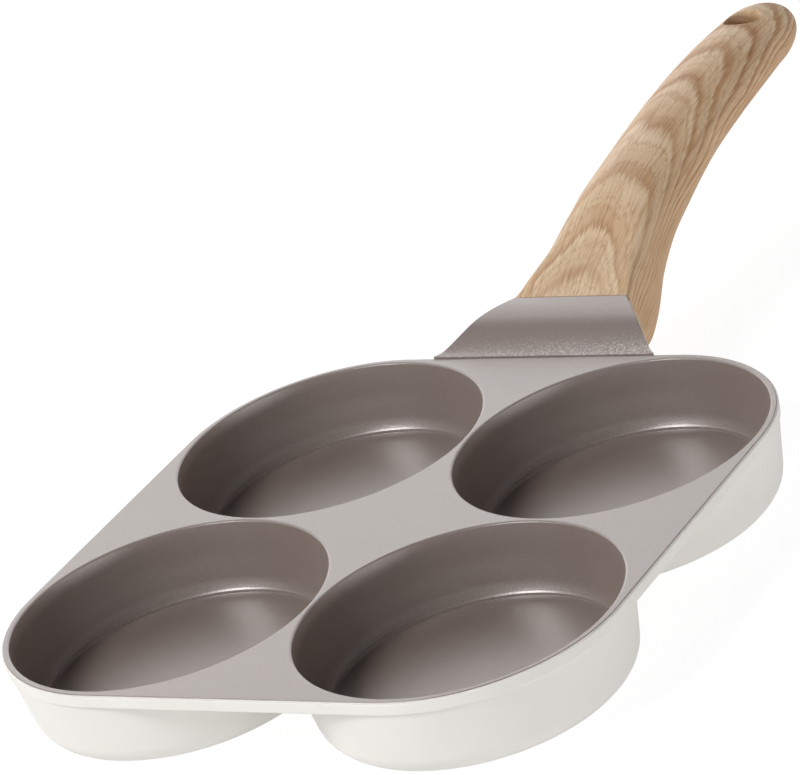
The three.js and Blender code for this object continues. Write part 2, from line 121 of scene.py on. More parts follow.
def bridge(mesh, near, far, slot):
    """Smooth faces between two rings of equal count, or between a ring and a single point."""
    for k in range(max(len(near), len(far))):
        corners = [near[k % len(near)], near[(k + 1) % len(near)], far[(k + 1) % len(far)], far[k % len(far)]]
        face = mesh.faces.new(list(dict.fromkeys(corners)))
        face.smooth = True
        face.material_index = slot


def turn_profile(mesh, profile, place, slot, segments=CUP_SEGMENTS):
    """A profile of (radius, height) turned round an upright axis. Returns its rings of vertices."""
    rings = []
    for radius, height in profile:
        count = segments if radius > 0 else 1
        angles = [2 * math.pi * k / count for k in range(count)]
        points = [(place[0] + radius * math.cos(a), place[1] + radius * math.sin(a), height) for a in angles]
        rings.append([mesh.verts.new(row_point(*point)) for point in points])
    for near, far in zip(rings, rings[1:]):
        bridge(mesh, near, far, slot)
    return rings


def loft(mesh, rings, slot):
    """A closed skin over rings of points in millimetres."""
    skins = [[mesh.verts.new(row_point(*point)) for point in ring] for ring in rings]
    for near, far in zip(skins, skins[1:]):
        bridge(mesh, near, far, slot)
    for end in (skins[0], skins[-1]):
        mesh.faces.new(end).material_index = slot


def ring_edges(mesh, ring):
    """The edges of a ring, made where they are missing."""
    pairs = [(ring[k - 1], ring[k]) for k in range(len(ring))]
    return [mesh.edges.get(pair) or mesh.edges.new(pair) for pair in pairs]


print("each cup is turned in", CUP_SEGMENTS, "steps")

# %% [markdown]
# ## Cup hollows
# Each cup has a soft rim and a drafted wall that curves in at its foot. The wall ends on a small edge just
# above the flat cooking floor, and that edge catches the lamp as a thin bright ring. The profile is drawn
# once and turned four times. Spinning one quarter would do as well, but whole rings leave no seam.

# %% Cup hollow
COAT, ENAMEL = 0, 1
RIM_RADIUS = 47.5
RIM_CHAMFER = 0.7
FLOOR_HEIGHT = 6.1
WALL_MIDDLE = 45.9
WALL_FOOT = 43.83
SHELF_EDGE = 42.4  # the small edge at the foot of the wall
SHELF_HEIGHT = FLOOR_HEIGHT + 0.9
body = bmesh.new()
hollow = rounded_profile([
    (RIM_RADIUS + 2 * RIM_CHAMFER, PAN_HEIGHT, 0),
    (RIM_RADIUS + RIM_CHAMFER, PAN_HEIGHT, 0.6),
    (RIM_RADIUS, PAN_HEIGHT - 0.24, 0.4),
    (WALL_MIDDLE, PAN_HEIGHT - 10, 50),
    (WALL_FOOT, SHELF_HEIGHT + 2.1, 11.5),
    (SHELF_EDGE + 0.39, SHELF_HEIGHT + 0.45, 0.8),
    (SHELF_EDGE, SHELF_HEIGHT, 0.3),
    (SHELF_EDGE - 0.2, FLOOR_HEIGHT, 0.2),
    (SHELF_EDGE - 8, FLOOR_HEIGHT, 0),
    (0, FLOOR_HEIGHT, 0),
])[1:]
rims = [turn_profile(body, hollow, place, COAT)[0] for place in CUP_PLACES.values()]
print("cups:", len(rims), "each", round(PAN_HEIGHT - FLOOR_HEIGHT, 2), "mm deep")

# %% [markdown]
# ## Deck and skirt
# The deck is a rounded square whose corners follow the cups. Its crisp edge drops on to a short skirt that
# stands out a little. The dark coat stops on the rounding of that edge, above a hair-thin groove, and the
# pale enamel starts there. Rings of one outline, each drawn in by its own amount, make all three.

# %% Deck skirt rings
CORNER_STEPS = 40
SKIRT_FOOT = PAN_HEIGHT - 4.2
DECK_UNDERSIDE = PAN_HEIGHT - 3.2
SKIRT_THICKNESS = 2.6
COAT_EDGE = 0.45  # how far the coat's edge lies inside the skirt
COAT_END = PAN_HEIGHT - 0.37
GROOVE_DEPTH = 0.05


def deck_outline(inset):
    """The deck's outline drawn in by an inset, as points (x, y)."""
    middle = DECK_EDGE - CORNER_RADIUS
    radius = CORNER_RADIUS - inset
    points = []
    for quarter, (right, rear) in enumerate(((1, 1), (-1, 1), (-1, -1), (1, -1))):
        for k in range(CORNER_STEPS + 1):
            angle = (quarter + k / CORNER_STEPS) * math.pi / 2
            x = right * middle + radius * math.cos(angle)
            points.append((x, rear * middle + radius * math.sin(angle)))
    return points


skirt = rounded_profile([
    (3, PAN_HEIGHT, 0),
    (COAT_EDGE, PAN_HEIGHT, 0.3),
    (COAT_EDGE, COAT_END, 0.05),
    (COAT_EDGE + GROOVE_DEPTH, COAT_END - 0.06, 0),
    (COAT_EDGE + GROOVE_DEPTH, COAT_END - 0.13, 0),
    (0, COAT_END - 0.22, 0.3),
    (0.25, SKIRT_FOOT, 0.5),
    (SKIRT_THICKNESS, SKIRT_FOOT, 0.4),
    (SKIRT_THICKNESS, DECK_UNDERSIDE, 0),
])[1:]
skirt_rings = []
for inset, height in skirt:
    skirt_rings.append([body.verts.new(row_point(x, y, height)) for x, y in deck_outline(inset)])
for near, far, (inset, height) in zip(skirt_rings, skirt_rings[1:], skirt):
    bridge(body, near, far, COAT if height > COAT_END + 0.15 else ENAMEL)
print("skirt made of", len(skirt_rings), "rings, each of", len(skirt_rings[0]), "points")

# %% [markdown]
# The flat deck is filled between the outline and the four rims. The underside is filled the same way, with
# holes that end inside the thickness of the cup walls, where nobody can see their edges.

# %% Deck faces
UNDER_HOLE = 47.4


def fill(mesh, rings, up, slot):
    """Flat faces between an outer ring and the rings of its holes. Returns how many were made."""
    edges = [edge for ring in rings for edge in ring_edges(mesh, ring)]
    made = bmesh.ops.triangle_fill(mesh, use_beauty=True, edges=edges, normal=(0, 0, up))
    faces = [face for face in made["geom"] if isinstance(face, bmesh.types.BMFace)]
    for face in faces:
        face.smooth = True
        face.material_index = slot
    return len(faces)


under_hole = [(UNDER_HOLE, DECK_UNDERSIDE)]
under_rings = [turn_profile(body, under_hole, place, ENAMEL)[0] for place in CUP_PLACES.values()]
print("deck faces:", fill(body, [skirt_rings[0], *rims], 1, COAT))
print("underside faces:", fill(body, [skirt_rings[-1], *under_rings], -1, ENAMEL))

# %% [markdown]
# ## Cup outsides
# Outside, each cup leaves the deck with a draft, rolls round a generous base fillet, and stands on a flat
# ring. Inside that ring is the shallow pocket for a steel disc. The upper end hides in the deck.

# %% Cup outsides
CUP_TOP_RADIUS, CUP_TOP = 49.45, PAN_HEIGHT - 2.6
BASE_RADIUS, BASE_FILLET = 45.4, 8.5
DISC_RADIUS = 33.0
POCKET_RADIUS, POCKET_ROOF = DISC_RADIUS + 0.35, 1.85
cup_outside = rounded_profile([
    (CUP_TOP_RADIUS, CUP_TOP, 0),
    (BASE_RADIUS, 0, BASE_FILLET),
    (POCKET_RADIUS, 0, 0.3),
    (POCKET_RADIUS, POCKET_ROOF, 0),
    (0, POCKET_ROOF, 0),
])
for place in CUP_PLACES.values():
    turn_profile(body, cup_outside, place, ENAMEL)
print("base rings stand on radius", POCKET_RADIUS, "to", round(max(r for r, z in cup_outside if z < 0.01), 2))

# %% [markdown]
# ## Ramp and tang
# At the rear edge the casting steps up a little and sweeps on to the handle as a thin plate that narrows
# like a keystone. A smooth curve through a few measured heights gives its side view. Below it a square
# tang runs into the handle. Both are lofts of rounded rectangles, so their edges are soft all round.

# %% Ramp curve
RAMP_LENGTH = 23.4
RAMP_THICKNESS = 1.6
RAMP_HALF_WIDTHS = (37.9, 19.8)  # at its foot and at its end
RAMP_LINE = np.array([  # reach behind the deck's edge, height above the deck
    (0, 0.65), (1.2, 0.84), (2.4, 1.3), (3.6, 1.9), (5.0, 2.68), (6.6, 3.6), (8.2, 4.53), (10.2, 5.66),
    (12.4, 6.64), (15.0, 7.42), (18.0, 7.95), (21.0, 8.16), (RAMP_LENGTH, 8.2),
])


def smooth_row(table, place):
    """The row of a table at a place in its first column, on a smooth curve through all rows."""
    places = table[:, 0]
    slopes = np.gradient(table, places, axis=0)
    i = int(np.clip(np.searchsorted(places, place) - 1, 0, len(places) - 2))
    span = places[i + 1] - places[i]
    t = (place - places[i]) / span
    ends = (2 * t**3 - 3 * t**2 + 1) * table[i] + (3 * t**2 - 2 * t**3) * table[i + 1]
    pulls = (t**3 - 2 * t**2 + t) * slopes[i] + (t**3 - t**2) * slopes[i + 1]
    return ends + span * pulls


def ramp_height(reach):
    """Height of the ramp above the deck, at a reach behind the deck's rear edge."""
    return float(smooth_row(RAMP_LINE, min(max(reach, 0), RAMP_LENGTH))[1])


def ramp_half_width(reach):
    """Half the width of the ramp at a reach behind the deck's rear edge."""
    return float(np.interp(reach, [0, RAMP_LENGTH], RAMP_HALF_WIDTHS))


print("ramp rises to", RAMP_LINE[:, 1].max(), "mm above the deck")

# %% Ramp plate
EDGE_ROUND = 0.5
FOOT_HALF_WIDTH = 38.6
FOOT_STEPS = ((-0.32, 0.6), (-0.3, 0.16), (-0.24, 0.05), (-0.12, 0.0))
END_STEPS = ((RAMP_LENGTH - 0.1, 0.04), (RAMP_LENGTH - 0.02, 0.12), (RAMP_LENGTH, 0.22))


def soft_box_ring(half_width, low, high, reach, rounding=EDGE_ROUND):
    """A rounded rectangle square to the handle, at a reach behind the deck."""
    y = DECK_EDGE + reach
    box = [(half_width, low), (half_width, high), (-half_width, high), (-half_width, low)]
    rounded = [(x, z, rounding) for x, z in box]
    ring = rounded_profile([(*box[-1], 0), *rounded, (*box[0], 0)])[1:-1]
    return [(x, y, PAN_HEIGHT + z) for x, z in ring]


plate_rings = []
for reach, drop in FOOT_STEPS:
    top = RAMP_LINE[0, 1] - drop
    plate_rings.append(soft_box_ring(FOOT_HALF_WIDTH, -RAMP_THICKNESS, top, reach, 0.15))
for reach in np.linspace(0.3, RAMP_LENGTH - 0.3, 48):
    top = ramp_height(reach)
    flare = 0.9 * math.exp(-reach / 0.9)
    plate_rings.append(soft_box_ring(ramp_half_width(reach) + flare, top - RAMP_THICKNESS, top, reach))
for reach, shrink in END_STEPS:
    top = ramp_height(reach)
    width = ramp_half_width(reach) - shrink
    plate_rings.append(soft_box_ring(width, top - RAMP_THICKNESS + shrink, top - shrink, reach, 0.3))
print("ramp plate made of", len(plate_rings), "sections")

# %% [markdown]
# The coat covers the top of the plate only, so its sides and its underside get the enamel, whose pale sides
# also stand in for the light line along the plate's right edge as a painted highlight. The tang below needs
# no more than four sections, since the handle hides it.

# %% Ramp finish and tang
TANG_HALF_WIDTH, TANG_LOW, TANG_ROUND = 8, -5, 0.8
first_plate_face = len(body.faces)
loft(body, plate_rings, COAT)
body.faces.ensure_lookup_table()
plate_faces = body.faces[first_plate_face:]
bmesh.ops.recalc_face_normals(body, faces=plate_faces)
# The pale enamel on the plate's sides also serves as a painted highlight along its right edge.
for face in plate_faces:
    if abs(face.normal.x) > 0.6 or face.normal.z < -0.3:
        face.material_index = ENAMEL
tang_rings = []
for reach, top in ((-4, -1.5), (1, -0.9), (4, ramp_height(4) - 1), (8, ramp_height(8) - 1.2)):
    tang_rings.append(soft_box_ring(TANG_HALF_WIDTH, TANG_LOW, top, reach, TANG_ROUND))
loft(body, tang_rings, ENAMEL)
print("enamelled faces of the ramp:", sum(face.material_index == ENAMEL for face in plate_faces))

# %% [markdown]
# ## From mesh to piece
# A piece is a mesh object that rides on the CAD body and stands for a CAD node. The Weighted Normal modifier
# lets large flat faces keep their own direction, so the deck stays flat right up to the rounded rims.

# %% Make the pan body
def make_piece(mesh, name, node, finishes):
    """A mesh object that rides on the root body in place of a CAD node."""
    data = bpy.data.meshes.new(name)
    mesh.to_mesh(data)
    mesh.free()
    piece = bpy.data.objects.new(name, data)
    bpy.context.scene.collection.objects.link(piece)
    for finish in finishes:
        data.materials.append(bpy.data.materials.get(finish) or bpy.data.materials.new(finish))
    data.set_sharp_from_angle(angle=math.radians(50))
    normals = piece.modifiers.new("keep flats flat", "WEIGHTED_NORMAL")
    normals.keep_sharp = True
    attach(piece, "root")
    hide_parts(node)
    return piece


bmesh.ops.recalc_face_normals(body, faces=body.faces)
pan_body = make_piece(body, "pan_casting", "pan_body", ["pan_coat", "cream_enamel"])
print("pan casting:", len(pan_body.data.polygons), "faces")

# %% [markdown]
# At the inner corners, at the foot of a cup wall and of the ramp, the coat is rougher and grainier, and its
# colour is painted paler there as a painted glow of the lamp. Each point is given a share of this, which
# fades with its distance from the corner. On the ramp the share, and so the painted glow, is heavier towards
# the right-hand end. A mesh attribute carries it to the finish.

# %% Rough grain and painted glow in the corners
RAMP_CORNER_REACH, CUP_CORNER_REACH = 4.5, 4.0
RAMP_GRAIN_GLOW_ENDS, RAMP_GRAIN_GLOW_SHARES = (-38, 38), (0.4, 1.7)
CUP_GRAIN_GLOW_SHARE = 0.16
# Each point gets a share of rougher grain and of a paler colour painted in as the lamp's glow.
grain_and_painted_glow = pan_body.data.attributes.new("grain_and_painted_glow", "FLOAT", "POINT")
for vertex in pan_body.data.vertices:
    x, y, z = vertex.co / MM
    y -= DECK_MIDDLE_Y
    if z > PAN_HEIGHT + 0.3:
        # The share grows to the right, which paints the ramp's glow brighter at its right-hand end.
        end_share = np.interp(x, RAMP_GRAIN_GLOW_ENDS, RAMP_GRAIN_GLOW_SHARES)
        share = math.exp(-(max(y - DECK_EDGE, 0) / RAMP_CORNER_REACH) ** 2) * end_share
    else:
        radius = min(math.hypot(x - a, y - b) for a, b in CUP_PLACES.values())
        apart = (radius - SHELF_EDGE) ** 2 + (z - SHELF_HEIGHT) ** 2
        share = CUP_GRAIN_GLOW_SHARE * math.exp(-apart / CUP_CORNER_REACH**2)
    grain_and_painted_glow.data[vertex.index].value = share
print("dry spray laid over", len(pan_body.data.vertices), "points")

# %% [markdown]
# ## Handle
# The handle starts as a wide, flat-topped root that takes the width of the ramp, swells into a belly over the
# screw, and runs out into an oval grip with a round tip. A table of stations gives its top line, bottom
# line and half width. Each section is a superellipse: power 2 is an ellipse, more is boxier. The lean
# draws the top in, which leaves the crisp edge that runs up from the corner of the ramp.

# %% Handle stations
#   reach   top  bottom  half  above below lean
HANDLE_STATIONS = np.array([
    (5.2, 4.7, -4.5, 33.4, 26, 4.0, 0.02),
    (12.1, 6.8, -8.9, 28.2, 26, 4.0, 0.03),
    (24.2, 8.4, -13.2, 20.7, 26, 4.0, 0.03),
    (33.0, 11.8, -17.2, 19.4, 16, 3.6, 0.07),
    (42.4, 15.1, -14.7, 18.1, 9.0, 3.3, 0.08),
    (55.4, 21.7, -6.7, 16.4, 4.4, 2.8, 0.05),
    (66.7, 26.35, -0.75, 16.0, 2.9, 2.5, 0.02),
    (83.8, 29.9, 4.75, 15.9, 2.25, 2.2, 0.0),
    (105.2, 33.05, 10.25, 15.5, 2.1, 2.1, 0.0),
    (130.6, 35.4, 13.5, 15.3, 2.0, 2.0, 0.0),
    (150.4, 36.2, 14.7, 14.4, 2.0, 2.0, 0.0),
    (166.0, 35.9, 15.4, 13.3, 2.0, 2.0, 0.0),
])
HANDLE_REACH = 190.0
TIP_BLUNTNESS = 2.1
print("handle is", HANDLE_REACH - HANDLE_STATIONS[0, 0], "mm long")

# %% Handle sections
HANDLE_SIDES = 112
SKIN_SECTIONS, TIP_SECTIONS = 190, 26


def handle_section(reach, top, bottom, half_width, above, below, lean):
    """Points round one section of the handle, from the middle of its top."""
    points = []
    for k in range(HANDLE_SIDES):
        angle = math.pi / 2 - 2 * math.pi * k / HANDLE_SIDES
        power = 2 / (above if math.sin(angle) >= 0 else below)
        side = math.copysign(abs(math.cos(angle)) ** power, math.cos(angle))
        height = math.copysign(abs(math.sin(angle)) ** power, math.sin(angle))
        x = half_width * side * (1 - lean * max(height, 0))
        z = (top + bottom) / 2 + height * (top - bottom) / 2
        points.append((x, DECK_EDGE + reach, PAN_HEIGHT + z))
    return points


tip_start = HANDLE_STATIONS[-1]
reaches = np.linspace(HANDLE_STATIONS[0, 0], tip_start[0], SKIN_SECTIONS)
sections = [handle_section(*smooth_row(HANDLE_STATIONS, reach)) for reach in reaches]
for k in range(1, TIP_SECTIONS):
    along = math.sin(math.pi / 2 * k / TIP_SECTIONS)
    shrink = (1 - along**TIP_BLUNTNESS) ** (1 / TIP_BLUNTNESS)
    middle = (tip_start[1] + tip_start[2]) / 2
    half = (tip_start[1] - tip_start[2]) / 2 * shrink
    reach = tip_start[0] + (HANDLE_REACH - tip_start[0]) * along
    sections.append(handle_section(reach, middle + half, middle - half, tip_start[3] * shrink, 2, 2, 0))
grip = bmesh.new()
loft(grip, sections, 0)
bmesh.ops.recalc_face_normals(grip, faces=grip.faces)
print("handle skin:", len(grip.faces), "faces")

# %% [markdown]
# Three hollows are cut from the skin: the flared hang hole, the bed that the ramp plate lies in, and the bore
# for the screw. A Boolean modifier does this well, because the skin is dense and the cutters are closed.

# %% Hang hole cutter
HOLE_HALF_WIDTH, HOLE_HALF_LENGTH = 5.75, 5.6
HOLE_REACH, HOLE_HEIGHT = 166.5, PAN_HEIGHT + 25.6
HOLE_STRAIGHT = 6.5  # half the length that has no flare
HOLE_SEGMENTS = 96
cutters = bmesh.new()
hole_rings = []
for height in np.linspace(-12, 12, 49):
    flare = 1.7 * max(abs(height) - HOLE_STRAIGHT, 0) ** 2 / 22
    ring = []
    for k in range(HOLE_SEGMENTS):
        angle = 2 * math.pi * k / HOLE_SEGMENTS
        y = DECK_EDGE + HOLE_REACH + (HOLE_HALF_LENGTH + flare) * math.sin(angle)
        ring.append(((HOLE_HALF_WIDTH + flare) * math.cos(angle), y, HOLE_HEIGHT + height))
    hole_rings.append(ring)
loft(cutters, hole_rings, 0)
print("hang hole cutter:", len(hole_rings), "rings")

# %% Bed and bore cutters
BED_GAP = 0.12
BED_HALF_WIDTH, BED_TOP = 45, PAN_HEIGHT + 20
SCREW_PLACE = (0, DECK_EDGE + 36.0)
SEAT_HEIGHT = 19.5
bed_line = [(-3, ramp_height(0))]
bed_line += [(reach, ramp_height(reach)) for reach in np.linspace(0, RAMP_LENGTH + BED_GAP, 40)]
bed_drop = RAMP_THICKNESS + BED_GAP
bed_side = [(DECK_EDGE + reach, PAN_HEIGHT + z - bed_drop) for reach, z in bed_line]
bed_side += [(bed_side[-1][0], BED_TOP), (bed_side[0][0], BED_TOP)]
loft(cutters, [[(x, y, z) for y, z in bed_side] for x in (-BED_HALF_WIDTH, BED_HALF_WIDTH)], 0)
bore = rounded_profile([
    (0, 4, 0), (7.5, 4, 0), (7.0, 10.2, 0), (5.6, 11.8, 0.8), (5.6, SEAT_HEIGHT, 0.2), (0, SEAT_HEIGHT, 0),
])
turn_profile(cutters, bore, SCREW_PLACE, 0, 64)
bmesh.ops.recalc_face_normals(cutters, faces=cutters.faces)
print("cutter faces:", len(cutters.faces))

# %% [markdown]
# The grain of the handle runs along its curve. Every point of the skin is given three lengths: how far it
# lies round the section from the middle of the top, how far it is along the handle, and how deep it lies
# in a hollow. They are kept as a mesh attribute, so the grain follows the surface as on the real piece.

# %% Lengths round the handle
skin_points, skin_girth = [], []
full_section = SKIN_SECTIONS - 1
for i, section in enumerate(sections):
    ring = np.array(sections[min(i, full_section)])
    steps = np.linalg.norm(np.diff(ring, axis=0, append=ring[:1]), axis=1)
    girth = np.concatenate([[0], np.cumsum(steps)[:-1]])
    girth = np.where(girth > steps.sum() / 2, girth - steps.sum(), girth)
    skin_points += [row_point(*point) for point in section]
    skin_girth += list(girth)
skin_tree = kdtree.KDTree(len(skin_points))
for i, point in enumerate(skin_points):
    skin_tree.insert(point, i)
skin_tree.balance()
print("girth of the grip:", round(max(skin_girth) - min(skin_girth), 1), "mm at its widest")

# %% Cut the handle
cutter_data = bpy.data.meshes.new("handle_cutters")
cutters.to_mesh(cutter_data)
cutters.free()
cutter = bpy.data.objects.new("handle_cutters", cutter_data)
bpy.context.scene.collection.objects.link(cutter)
skin_data = bpy.data.meshes.new("handle_skin")
grip.to_mesh(skin_data)
grip.free()
skin = bpy.data.objects.new("handle_skin", skin_data)
bpy.context.scene.collection.objects.link(skin)
cutting = skin.modifiers.new("hollows", "BOOLEAN")
cutting.operation, cutting.solver, cutting.object = "DIFFERENCE", "MANIFOLD", cutter
cut_data = bpy.data.meshes.new_from_object(skin.evaluated_get(bpy.context.evaluated_depsgraph_get()))
cut_handle = bmesh.new()
cut_handle.from_mesh(cut_data)
for used in (skin, cutter):
    bpy.data.objects.remove(used)
for face in cut_handle.faces:
    face.smooth = True
print("cut handle:", len(cut_handle.faces), "faces")

# %% Grain attribute
HOLE_DEPTH_RUN = 1.6  # how fast the grain runs on into a hollow
WRAP_JUMP = 30
handle = make_piece(cut_handle, "wood_handle", "handle", ["handle_wood"])
girths, depths = [], []
for vertex in handle.data.vertices:
    _, index, distance = skin_tree.find(vertex.co)
    depths.append(distance / MM)
    girths.append(skin_girth[index] + math.copysign(HOLE_DEPTH_RUN, skin_girth[index]) * depths[-1])
grain_run = handle.data.attributes.new("grain_run", "FLOAT_VECTOR", "CORNER")
for face in handle.data.polygons:
    corners = [(loop, handle.data.loops[loop].vertex_index) for loop in face.loop_indices]
    wraps = max(girths[v] for _, v in corners) - min(girths[v] for _, v in corners) > WRAP_JUMP
    for loop, v in corners:
        reach = handle.data.vertices[v].co.y / MM - DECK_MIDDLE_Y - DECK_EDGE
        grain_run.data[loop].vector = (abs(girths[v]) if wraps else girths[v], reach, depths[v])
print("grain laid over", len(handle.data.vertices), "points")

# %% [markdown]
# ## Steel discs
# A perforated steel disc is pressed into each base, so that the pan works on an induction hob. The disc is
# filled between its edge and its holes, then given thickness, and the edges are broken with a bevel.

# %% Steel discs
DISC_LOW, DISC_HIGH = 0.4, 1.6
HOLE_RADIUS = 2.0
HOLE_RINGS = ((25.0, 14), (14.0, 8))


def steel_disc(name, place):
    """A perforated disc with broken edges, drawn at its own origin and put in its place."""
    mesh = bmesh.new()
    edge = turn_profile(mesh, [(DISC_RADIUS, DISC_LOW)], (0, -DECK_MIDDLE_Y), 0, 128)[0]
    holes = []
    for ring_radius, count in HOLE_RINGS:
        for k in range(count):
            angle = 2 * math.pi * k / count
            middle = (ring_radius * math.cos(angle), ring_radius * math.sin(angle) - DECK_MIDDLE_Y)
            holes.append(turn_profile(mesh, [(HOLE_RADIUS, DISC_LOW)], middle, 0, 28)[0])
    fill(mesh, [edge, *holes], -1, 0)
    raised = bmesh.ops.extrude_face_region(mesh, geom=mesh.faces[:])
    tops = [item for item in raised["geom"] if isinstance(item, bmesh.types.BMVert)]
    bmesh.ops.translate(mesh, verts=tops, vec=(0, 0, (DISC_HIGH - DISC_LOW) * MM))
    bmesh.ops.recalc_face_normals(mesh, faces=mesh.faces)
    disc = make_piece(mesh, "steel_disc_" + name, "base_disc_" + name, ["ground_steel"])
    disc.location = row_point(*place, 0)
    bevel = disc.modifiers.new("broken edges", "BEVEL")
    bevel.width, bevel.segments, bevel.limit_method = 0.18 * MM, 2, "ANGLE"
    disc.modifiers.move(len(disc.modifiers) - 1, 0)
    return disc


discs = [steel_disc(name, place) for name, place in CUP_PLACES.items()]
print("discs:", [disc.name for disc in discs])

# %% [markdown]
# ## Screw and washers
# One pan-head screw with a cross recess holds the handle, over a spring washer and a plain washer. All three
# sit in the bore under the belly. The head and the plain washer are turned, the recess is cut, and the
# spring washer is a square wire swept round almost a full turn while it climbs.

# %% Screw
HEAD_LOW, HEAD_HIGH = 13.45, 16.45
screw_profile = rounded_profile([
    (0, HEAD_LOW, 0), (2.2, HEAD_LOW, 0.5), (4.5, HEAD_LOW + 1.4, 1.1), (4.5, HEAD_HIGH, 0.2),
    (2.5, HEAD_HIGH, 0), (2.5, 28.0, 0.4), (0, 28.8, 0),
])
screw_mesh = bmesh.new()
turn_profile(screw_mesh, screw_profile, SCREW_PLACE, 0, 72)
bmesh.ops.recalc_face_normals(screw_mesh, faces=screw_mesh.faces)
print("turned screw:", len(screw_mesh.faces), "faces")

# %% Cross recess
RECESS_STEPS = ((2.5, 0.62, -1.0), (2.35, 0.55, 0.0), (0.7, 0.3, 2.1))
BOX_CORNERS = ((1, 1), (-1, 1), (-1, -1), (1, -1))
recess = bmesh.new()
for angle in (0, math.pi / 2):
    c, s = math.cos(angle), math.sin(angle)
    rings = []
    for half_length, half_width, rise in RECESS_STEPS:
        box = [(a * half_length, b * half_width) for a, b in BOX_CORNERS]
        height = HEAD_LOW + rise
        rings.append([(x * c - y * s, SCREW_PLACE[1] + x * s + y * c, height) for x, y in box])
    loft(recess, rings, 0)
bmesh.ops.recalc_face_normals(recess, faces=recess.faces)
screw = make_piece(screw_mesh, "handle_screw_piece", "handle_screw", ["zinc_plate"])
recess_data = bpy.data.meshes.new("cross_recess")
recess.to_mesh(recess_data)
recess.free()
recess_cutter = bpy.data.objects.new("cross_recess", recess_data)
bpy.context.scene.collection.objects.link(recess_cutter)
cutting = screw.modifiers.new("cross recess", "BOOLEAN")
cutting.operation, cutting.solver, cutting.object = "DIFFERENCE", "EXACT", recess_cutter
cutting.use_self = True
screw.modifiers.move(1, 0)
cut_screw = bpy.data.meshes.new_from_object(screw.evaluated_get(bpy.context.evaluated_depsgraph_get()))
screw.modifiers.clear()
screw.data = cut_screw
bpy.data.objects.remove(recess_cutter)
print("screw:", len(screw.data.polygons), "faces")

# %% Washers
WASHER_BORE, WASHER_RADIUS, SPRING_RADIUS = 2.8, 5.0, 4.3
WASHER_LOW, WASHER_HIGH = 18.25, 19.25
SPRING_LOW, SPRING_RISE, SPRING_THICKNESS = 16.62, 0.32, 1.15
SPRING_SPLIT = 0.18
SPRING_STEPS = 72
washer_mesh = bmesh.new()
flat_ring = rounded_profile([
    (WASHER_BORE, 18.7, 0), (WASHER_BORE, WASHER_HIGH, 0.2), (WASHER_RADIUS, WASHER_HIGH, 0.2),
    (WASHER_RADIUS, WASHER_LOW, 0.25), (WASHER_BORE, WASHER_LOW, 0.2), (WASHER_BORE, 18.7, 0),
])
turn_profile(washer_mesh, flat_ring, SCREW_PLACE, 0, 72)
bmesh.ops.remove_doubles(washer_mesh, verts=washer_mesh.verts, dist=1e-7)
bmesh.ops.recalc_face_normals(washer_mesh, faces=washer_mesh.faces)
plain_washer = make_piece(washer_mesh, "plain_washer_piece", "plain_washer", ["zinc_plate"])
spring_mesh = bmesh.new()
wire = rounded_profile([
    (WASHER_BORE, 0.5, 0), (WASHER_BORE, SPRING_THICKNESS, 0.15), (SPRING_RADIUS, SPRING_THICKNESS, 0.15),
    (SPRING_RADIUS, 0.0, 0.15), (WASHER_BORE, 0.0, 0.15), (WASHER_BORE, 0.5, 0),
])[:-1]
wire_rings = []
for k in range(SPRING_STEPS + 1):
    angle = SPRING_SPLIT / 2 + (2 * math.pi - SPRING_SPLIT) * k / SPRING_STEPS
    climb = SPRING_LOW + SPRING_RISE * k / SPRING_STEPS
    c, s = math.cos(angle), math.sin(angle)
    wire_rings.append([(r * c, SCREW_PLACE[1] + r * s, climb + z) for r, z in wire])
loft(spring_mesh, wire_rings, 0)
bmesh.ops.recalc_face_normals(spring_mesh, faces=spring_mesh.faces)
spring_washer = make_piece(spring_mesh, "spring_washer_piece", "spring_washer", ["zinc_plate"])
print("washers:", plain_washer.name, spring_washer.name)

# %% [markdown]
# ## Building finishes
# Finishes are built from shader nodes. In the editor one would add and join them by hand. Here a few small
# helpers keep each finish readable: one adds a node and sets or joins its sockets, others make noise, a
# colour ramp, a range or a product of two colours, and the last joins the results to the shader.

# %% Node helpers
def srgb(red, green, blue):
    """A colour picked on a screen, 0 to 255, as the linear colour that a shader wants."""
    shares = [value / 255 for value in (red, green, blue)]
    return tuple(((s + 0.055) / 1.055) ** 2.4 if s > 0.04045 else s / 12.92 for s in shares) + (1.0,)


def start_finish(name):
    """The node tree and the shader of a finish that a piece already wears."""
    finish = bpy.data.materials[name]
    finish.use_nodes = True
    return finish.node_tree, finish.node_tree.nodes["Principled BSDF"]


def add(tree, kind, inputs=(), **settings):
    """A new node with its settings, and its sockets set by value or joined to another node's output."""
    made = tree.nodes.new("ShaderNode" + kind)
    for key, value in settings.items():
        setattr(made, key, value)
    for key, value in dict(inputs).items():
        if isinstance(value, bpy.types.NodeSocket):
            tree.links.new(value, made.inputs[key])
        else:
            made.inputs[key].default_value = value
    return made


def color_ramp(tree, share, stops):
    """A colour that runs through stops (position, colour) as a share grows."""
    made = add(tree, "ValToRGB", {"Fac": share})
    elements = made.color_ramp.elements
    while len(elements) < len(stops):
        elements.new(0.5)
    for element, (position, color) in zip(elements, stops):
        element.position, element.color = position, color
    return made.outputs["Color"]


print("cream enamel as a linear colour:", srgb(238, 235, 229))

# %% More node helpers
CLEAR = (1, 1, 1, 1)


def to_range(tree, value, low, high):
    """A value from 0 to 1, moved to lie between low and high."""
    made = add(tree, "MapRange", {"Value": value, "To Min": low, "To Max": high})
    return made.outputs["Result"]


def noise(tree, place, scale, detail, roughness=0.5):
    """Noise over a place in metres. A scale of 1000 has about one blot to the millimetre."""
    inputs = {"Vector": place, "Scale": scale, "Detail": detail, "Roughness": roughness}
    return add(tree, "TexNoise", inputs).outputs["Fac"]


def multiply(tree, first, second):
    """The product of two colours, as when one is glazed over the other."""
    inputs = {"Factor": 1.0, "A": first, "B": second}
    return add(tree, "Mix", inputs, data_type="RGBA", blend_type="MULTIPLY").outputs["Result"]


